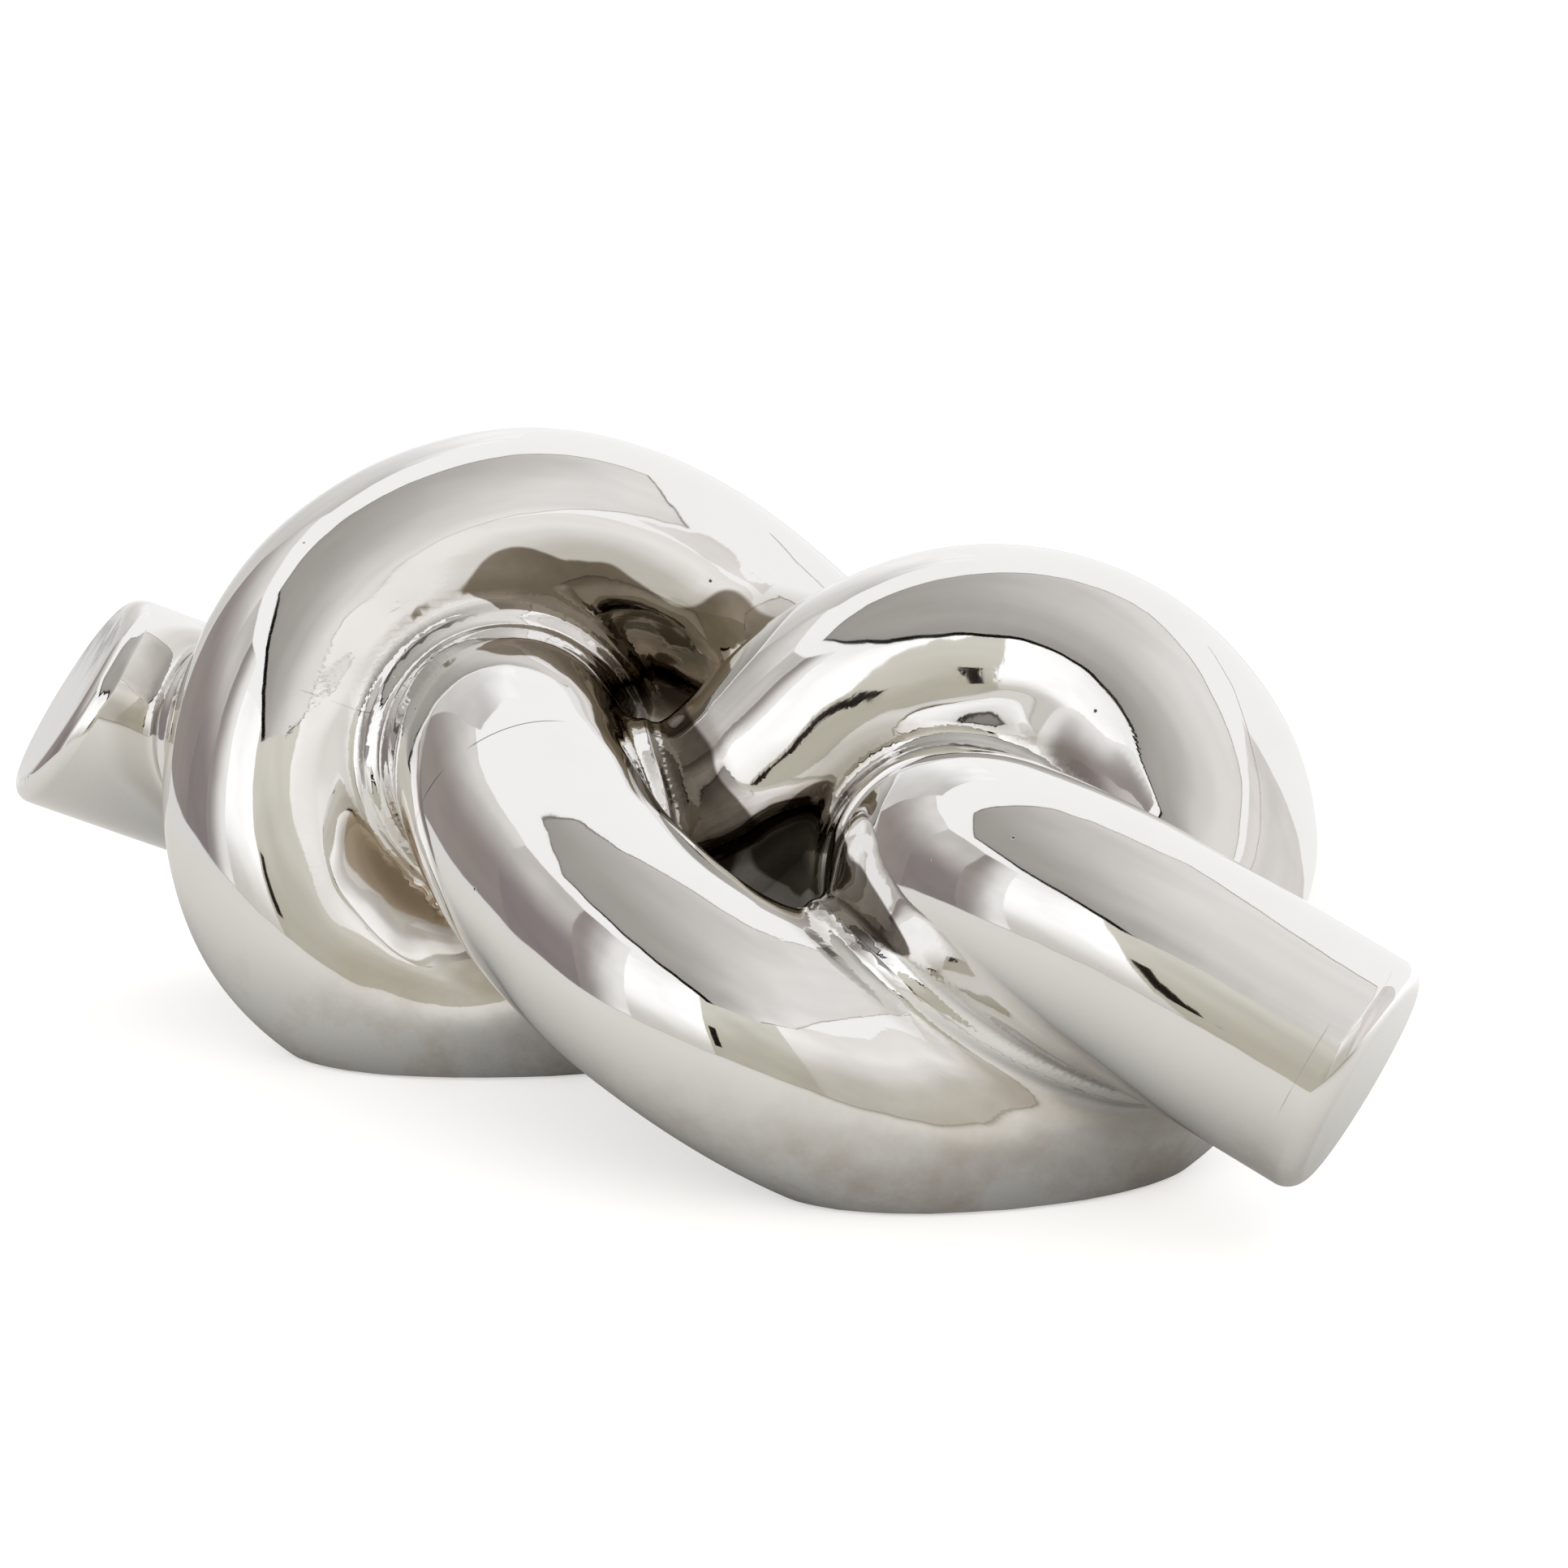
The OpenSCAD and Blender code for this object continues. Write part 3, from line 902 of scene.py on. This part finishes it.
def toward(azimuth, height, distance=CARD_FAR):
    """A point of the studio: azimuth 0 is behind the knot, 90 to its right, 180 in front."""
    a = math.radians(azimuth)
    return np.array([math.sin(a) * distance, math.cos(a) * distance, height])


def card(name, corners, colour, strength=1.0, fade=None):
    """A glowing card between its corners, unseen by the camera. fade is (start, stop, colour)."""
    mesh = bpy.data.meshes.new(name)
    mesh.from_pydata([list(map(float, c)) for c in corners], [], [tuple(range(len(corners)))])
    made = bpy.data.objects.new(name, mesh)
    bpy.context.collection.objects.link(made)
    material, tree = new_material(name)
    place = node(tree, "TexCoord", out="Object")
    shade = srgb(colour)
    if fade:
        start, stop = np.array(fade[0], float), np.array(fade[1], float)
        way = (stop - start) / ((stop - start) ** 2).sum()
        first = float(start @ way)
        run = node(tree, "VectorMath", [place, way.tolist()], "Value", operation="DOT_PRODUCT")
        part = node(tree, "MapRange", [run, first, first + 1, 0.0, 1.0], **SMOOTH)
        shade = node(tree, "Mix", {"Factor": part, "A": shade, "B": srgb(fade[2])}, **COLOURS)
    dim, bright = strength * (1 - MOTTLE), strength * (1 + MOTTLE)
    uneven = node(tree, "TexNoise", {"Vector": place, "Scale": 2.6, "Detail": 2.0})
    power = node(tree, "MapRange", [uneven, 0.3, 0.7, dim, bright])
    glow = node(tree, "Emission", {"Color": shade, "Strength": power})
    node(tree, "OutputMaterial", {"Surface": glow})
    mesh.materials.append(material)
    made.visible_camera = False
    return made


print("cards stand", CARD_FAR, "m from the knot's middle")

# %% [markdown]
# The sheet overhead is a crooked hexagon, darker at the left and in front. Each of its sides
# shows in the glaze as a thin dark line, because nothing bright hangs there, so a narrow dark
# strip lies just under each side. Its two widths follow how the line swells in the photograph.
# The last strip is a seam of the cloth beyond the sheet.

# %% The sheet overhead and its dark edges
CEILING = 0.75
UNDER = 0.001  # keeps a strip clear of the sheet
FRONT, RIGHT, NEAR_BACK = (0.42, -1.16), (0.72, -0.50), (0.52, 0.15)
BACK, LEFT_BACK, LEFT_FRONT = (0.05, 0.50), (-0.38, -0.11), (-0.43, -0.42)
EDGES = (  # name, its two ends, its width at each, colour
    ("ceiling_edge_left", LEFT_FRONT, FRONT, 0.012, 0.085, "#0A0908"),
    ("ceiling_edge_far_left", LEFT_BACK, LEFT_FRONT, 0.006, 0.01, "#6E6055"),
    ("ceiling_edge_front", FRONT, RIGHT, 0.03, 0.002, "#0A0908"),
    ("ceiling_edge_right", RIGHT, NEAR_BACK, 0.006, 0.006, "#8A7D72"),
    ("ceiling_edge_back", NEAR_BACK, BACK, 0.006, 0.006, "#5A4B40"),
    ("ceiling_edge_back_left", BACK, LEFT_BACK, 0.006, 0.006, "#5A4B40"),
    ("cloth_seam_right", (1.1, -0.1), (0.1, 0.95), 0.007, 0.007, "#8A6F5C"),
)
sheet_corners = [(*c, CEILING) for c in (FRONT, RIGHT, NEAR_BACK, BACK, LEFT_BACK, LEFT_FRONT)]
card("ceiling_sheet", sheet_corners, "#A29F9A",
     fade=((-0.345, -0.19, 0), (0.345, 0.19, 0), "#ECEAE7"))
for name, start, stop, start_width, stop_width, colour in EDGES:
    a, b = np.array(start), np.array(stop)
    inward = unit(np.array([a[1] - b[1], b[0] - a[0]]))
    outline = (a, b, b + inward * stop_width, a + inward * start_width)
    card(name, [(*p, CEILING - UNDER) for p in outline], colour)
print("overhead:", 1 + len(EDGES), "cards")

# %% [markdown]
# Round the knot stand walls of cloth and board. A wall runs from one azimuth to the next, and
# up or along it one grey goes over into another, as the light on it did. The thin stand in
# front of the white strip gives the short dark dashes on the knot's front.

# %% The walls
WALLS = (  # name, azimuths, heights, colour, strength, distance, fade
    ("grey_wall_left", (-82, -120), (0, 1.0), "#938B87", 1.0, CARD_FAR,
     ((0, 0, 0.35), (0, 0, 0.95), "#E2E0DD")),
    ("grey_wall_front_left", (-120, -142), (0, 1.0), "#8A8281", 1.0, CARD_FAR,
     ((0, 0, 0.3), (0, 0, 0.8), "#CBC7C3")),
    ("soft_edge_front_left", (-142, -160), (0, 1.0), "#968F8B", 1.0, CARD_FAR,
     (toward(-144, 0), toward(-159, 0), "#F6F5F3")),
    ("white_strip_front", (-160, -188), (0, 0.85), "#CBC8C2", 1.15, CARD_FAR,
     ((0, 0, 0.02), (0, 0, 0.38), "#FFFFFF")),
    ("stand_front", (170.5, 167.5), (0.12, 0.36), "#1D1713", 1.0, 0.97, None),
    ("grey_wall_right", (172, 135), (0, 0.85), "#B5B1A3", 1.05, CARD_FAR,
     ((0, 0, 0.15), (0, 0, 0.6), "#CFCCC2")),
    ("pale_wall_right", (135, 96), (0, 0.9), "#BFBBB1", 1.05, CARD_FAR,
     ((0, 0, 0.15), (0, 0, 0.7), "#F2EFEC")),
    ("pale_wall_far_right", (96, 40), (0, 1.1), "#E4E0DD", 1.0, CARD_FAR, None),
    ("pale_wall_far_left", (-40, -82), (0, 1.1), "#FFFFFF", 1.0, CARD_FAR,
     (toward(-45, 0), toward(-70, 0), "#D4D2CF")),
)
for name, (a0, a1), (h0, h1), colour, strength, distance, fade in WALLS:
    corners = [toward(a0, h0, distance), toward(a1, h0, distance),
               toward(a1, h1, distance), toward(a0, h1, distance)]
    card(name, corners, colour, strength, fade)
print("walls:", len(WALLS), "cards")

# %% [markdown]
# The floor is plain and pale. To the camera it is white paper that keeps a faint shadow. In the
# glaze it is the warm grey table of the photograph with painted light and shade: white behind the
# knot, where the light falls, and painted shade close under it. The world behind it is white.

# %% Floor and world
FLOOR_SIZE = 6
FLOOR_GAP = 0.0005  # the feet and the floor don't share one plane
bpy.ops.mesh.primitive_plane_add(size=FLOOR_SIZE, location=(0, 0, -FLOOR_GAP))
floor = bpy.context.object
floor.name = "floor"
paper, tree = new_material("studio_floor")
white_paper = node(tree, "BsdfDiffuse", {"Color": srgb("#FFFFFF")})
fill_light = node(tree, "Emission", {"Color": srgb("#FFFFFF"), "Strength": 0.5})
to_camera = node(tree, "AddShader", [white_paper, fill_light])
place = node(tree, "TexCoord", out="Object")
x = node(tree, "SeparateXYZ", [place], out="X")
y = x.node.outputs["Y"]
# Painted light and shade of the table as the glaze sees it: white behind the knot where light falls,
# warm grey in front, darker to the right, a neutral grey at the left.
behind = node(tree, "MapRange", [y, -0.02, 0.22, 0.0, 1.0], **SMOOTH)
beside = node(tree, "MapRange", [x, 0.22, 0.6, 0.0, 1.0], **SMOOTH)
left_side = node(tree, "MapRange", [x, -0.5, -0.25, 1.0, 0.0], **SMOOTH)
grey = node(tree, "Mix", {"Factor": beside, "A": srgb("#D4D2CC"), "B": srgb("#A59F95")}, **COLOURS)
grey = node(tree, "Mix", {"Factor": behind, "A": grey, "B": srgb("#FFFFFF")}, **COLOURS)
grey = node(tree, "Mix", {"Factor": left_side, "A": grey, "B": srgb("#D4D3D2")}, **COLOURS)
# Painted shade close under the knot, from ambient occlusion, in a floor that glows for reflections.
open_sky = node(tree, "AmbientOcclusion", {"Distance": 0.2}, out="AO", samples=8)
table_light = node(tree, "MapRange", [open_sky, 0.0, 1.0, 0.08, 1.15])
table = node(tree, "Emission", {"Color": grey, "Strength": table_light})
to_lens = node(tree, "LightPath", out="Is Camera Ray")
seen = node(tree, "MixShader", [to_lens, table, to_camera])
node(tree, "OutputMaterial", {"Surface": seen})
floor.data.materials.append(paper)

world = bpy.data.worlds.new("white_room")
world.use_nodes = True
world.node_tree.nodes.clear()
sky = node(world.node_tree, "Background", {"Color": srgb("#FFFFFF"), "Strength": 1.0})
node(world.node_tree, "OutputWorld", {"Surface": sky})
bpy.context.scene.world = world
bpy.context.scene.view_settings.view_transform = "Standard"
print("floor and world ready")

# %% [markdown]
# The camera stands where the photographer's did. Its place, lens and shift were fitted to the
# outline of the knot in the photograph.

# %% The camera
CAMERA_AZIMUTH, CAMERA_ELEVATION = math.radians(37.65636), math.radians(14.448445)
CAMERA_DISTANCE = 1.00805
AIM = Vector((0, 0, 0.0546))
FOCAL_PX, AIM_PX = 6860.36, (904.10, 958.27)
FRAME_PX, SENSOR_MM = 1932, 36
back = Vector((math.sin(CAMERA_AZIMUTH) * math.cos(CAMERA_ELEVATION),
               -math.cos(CAMERA_AZIMUTH) * math.cos(CAMERA_ELEVATION),
               math.sin(CAMERA_ELEVATION)))
eye = bpy.data.cameras.new("camera")
eye.sensor_width = SENSOR_MM
eye.lens = SENSOR_MM * FOCAL_PX / FRAME_PX
eye.shift_x = 0.5 - AIM_PX[0] / FRAME_PX
eye.shift_y = AIM_PX[1] / FRAME_PX - 0.5
eye.clip_start, eye.clip_end = 0.05, 20
camera = bpy.data.objects.new("camera", eye)
camera.location = AIM + CAMERA_DISTANCE * back
camera.rotation_euler = back.to_track_quat("Z", "Y").to_euler()
bpy.context.collection.objects.link(camera)
bpy.context.scene.camera = camera
print("lens", round(eye.lens, 2), "mm, shift", round(eye.shift_x, 4), round(eye.shift_y, 4))
